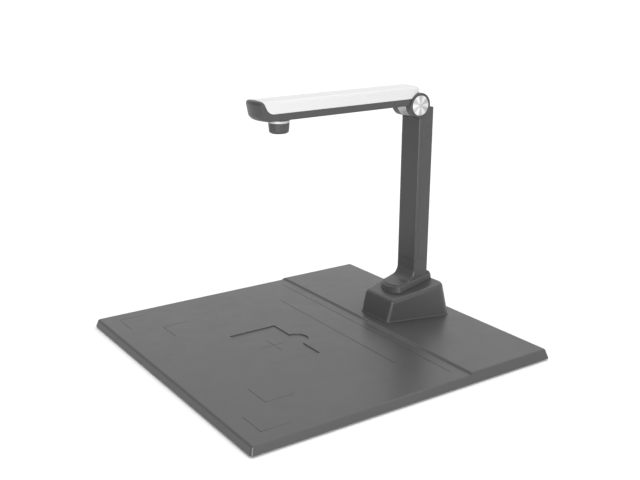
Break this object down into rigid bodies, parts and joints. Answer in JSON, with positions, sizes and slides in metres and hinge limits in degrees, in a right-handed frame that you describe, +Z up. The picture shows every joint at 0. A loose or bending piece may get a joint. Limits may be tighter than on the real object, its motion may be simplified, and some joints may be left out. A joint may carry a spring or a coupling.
{
  "type": "book scanner",
  "caption": "Book scanner: a flat copy stand with sheet marks and a card pocket, a weighted foot, an upright column and a folding arm that carries a downward camera.",
  "frame": {"origin": "centre of the base plate's footprint, at the level of the table the rubber feet stand on", "axes": "+X to the reader's right, +Y from the reader back to the column, +Z up; the arm reaches forward along -Y"},
  "size_m": [0.336, 0.348, 0.2609],
  "materials": {
    "base_grey": "fine texture, matte",
    "dark_grey": "fine texture, satin",
    "white_cover": "satin",
    "silver_trim": "satin, turned",
    "turned_disc": "turned, bright",
    "cast_metal": "as cast",
    "sheet_steel": "zinc plated",
    "fastener_steel": "bright",
    "washer_steel": "spring steel",
    "rubber": "matte",
    "circuit_board": "solder mask",
    "chip_black": "moulded",
    "lens_black": "matte",
    "lens_glass": "clear",
    "plated_shell": "plated"
  },
  "bodies": {
    "stand": {"base_top_shell": "base_grey", "base_bottom_cover": "base_grey", "ballast_plate": "sheet_steel", "base_screws": "fastener_steel", "rubber_feet": "rubber", "foot_housing": "dark_grey", "foot_bracket": "sheet_steel", "foot_screws": "fastener_steel", "usb_board": "circuit_board", "usb_socket": "plated_shell", "usb_board_screws": "fastener_steel", "column_collar": "dark_grey", "column_front_cover": "dark_grey", "column_rear_shell": "dark_grey", "column_core": "sheet_steel", "column_screws": "fastener_steel", "hinge_bracket": "cast_metal", "hinge_sleeve": "silver_trim", "hinge_pin": "fastener_steel", "hinge_nut": "fastener_steel", "friction_washers": "washer_steel"},
    "arm": {"arm_lower_shell": "dark_grey", "arm_top_cover": "white_cover", "arm_screws": "fastener_steel", "hinge_yoke": "sheet_steel", "yoke_screws": "fastener_steel", "hinge_cap_left": "dark_grey", "hinge_cap_right": "dark_grey", "hinge_disc_left": "turned_disc", "hinge_disc_right": "turned_disc", "camera_board": "circuit_board", "board_components": "chip_black", "board_screws": "fastener_steel", "image_sensor": "chip_black", "lens_holder": "lens_black", "lens_barrel": "lens_black", "lens_elements": "lens_glass", "lens_housing": "dark_grey", "lens_window": "lens_glass", "lens_ring": "silver_trim"}
  },
  "joints": [
    {"name": "arm_fold", "type": "hinge", "parent": "stand", "child": "arm", "pos_m": [0, 0.12375, 0.2406], "axis": [1, 0, 0], "range_deg": [0, 79]}
  ]
}
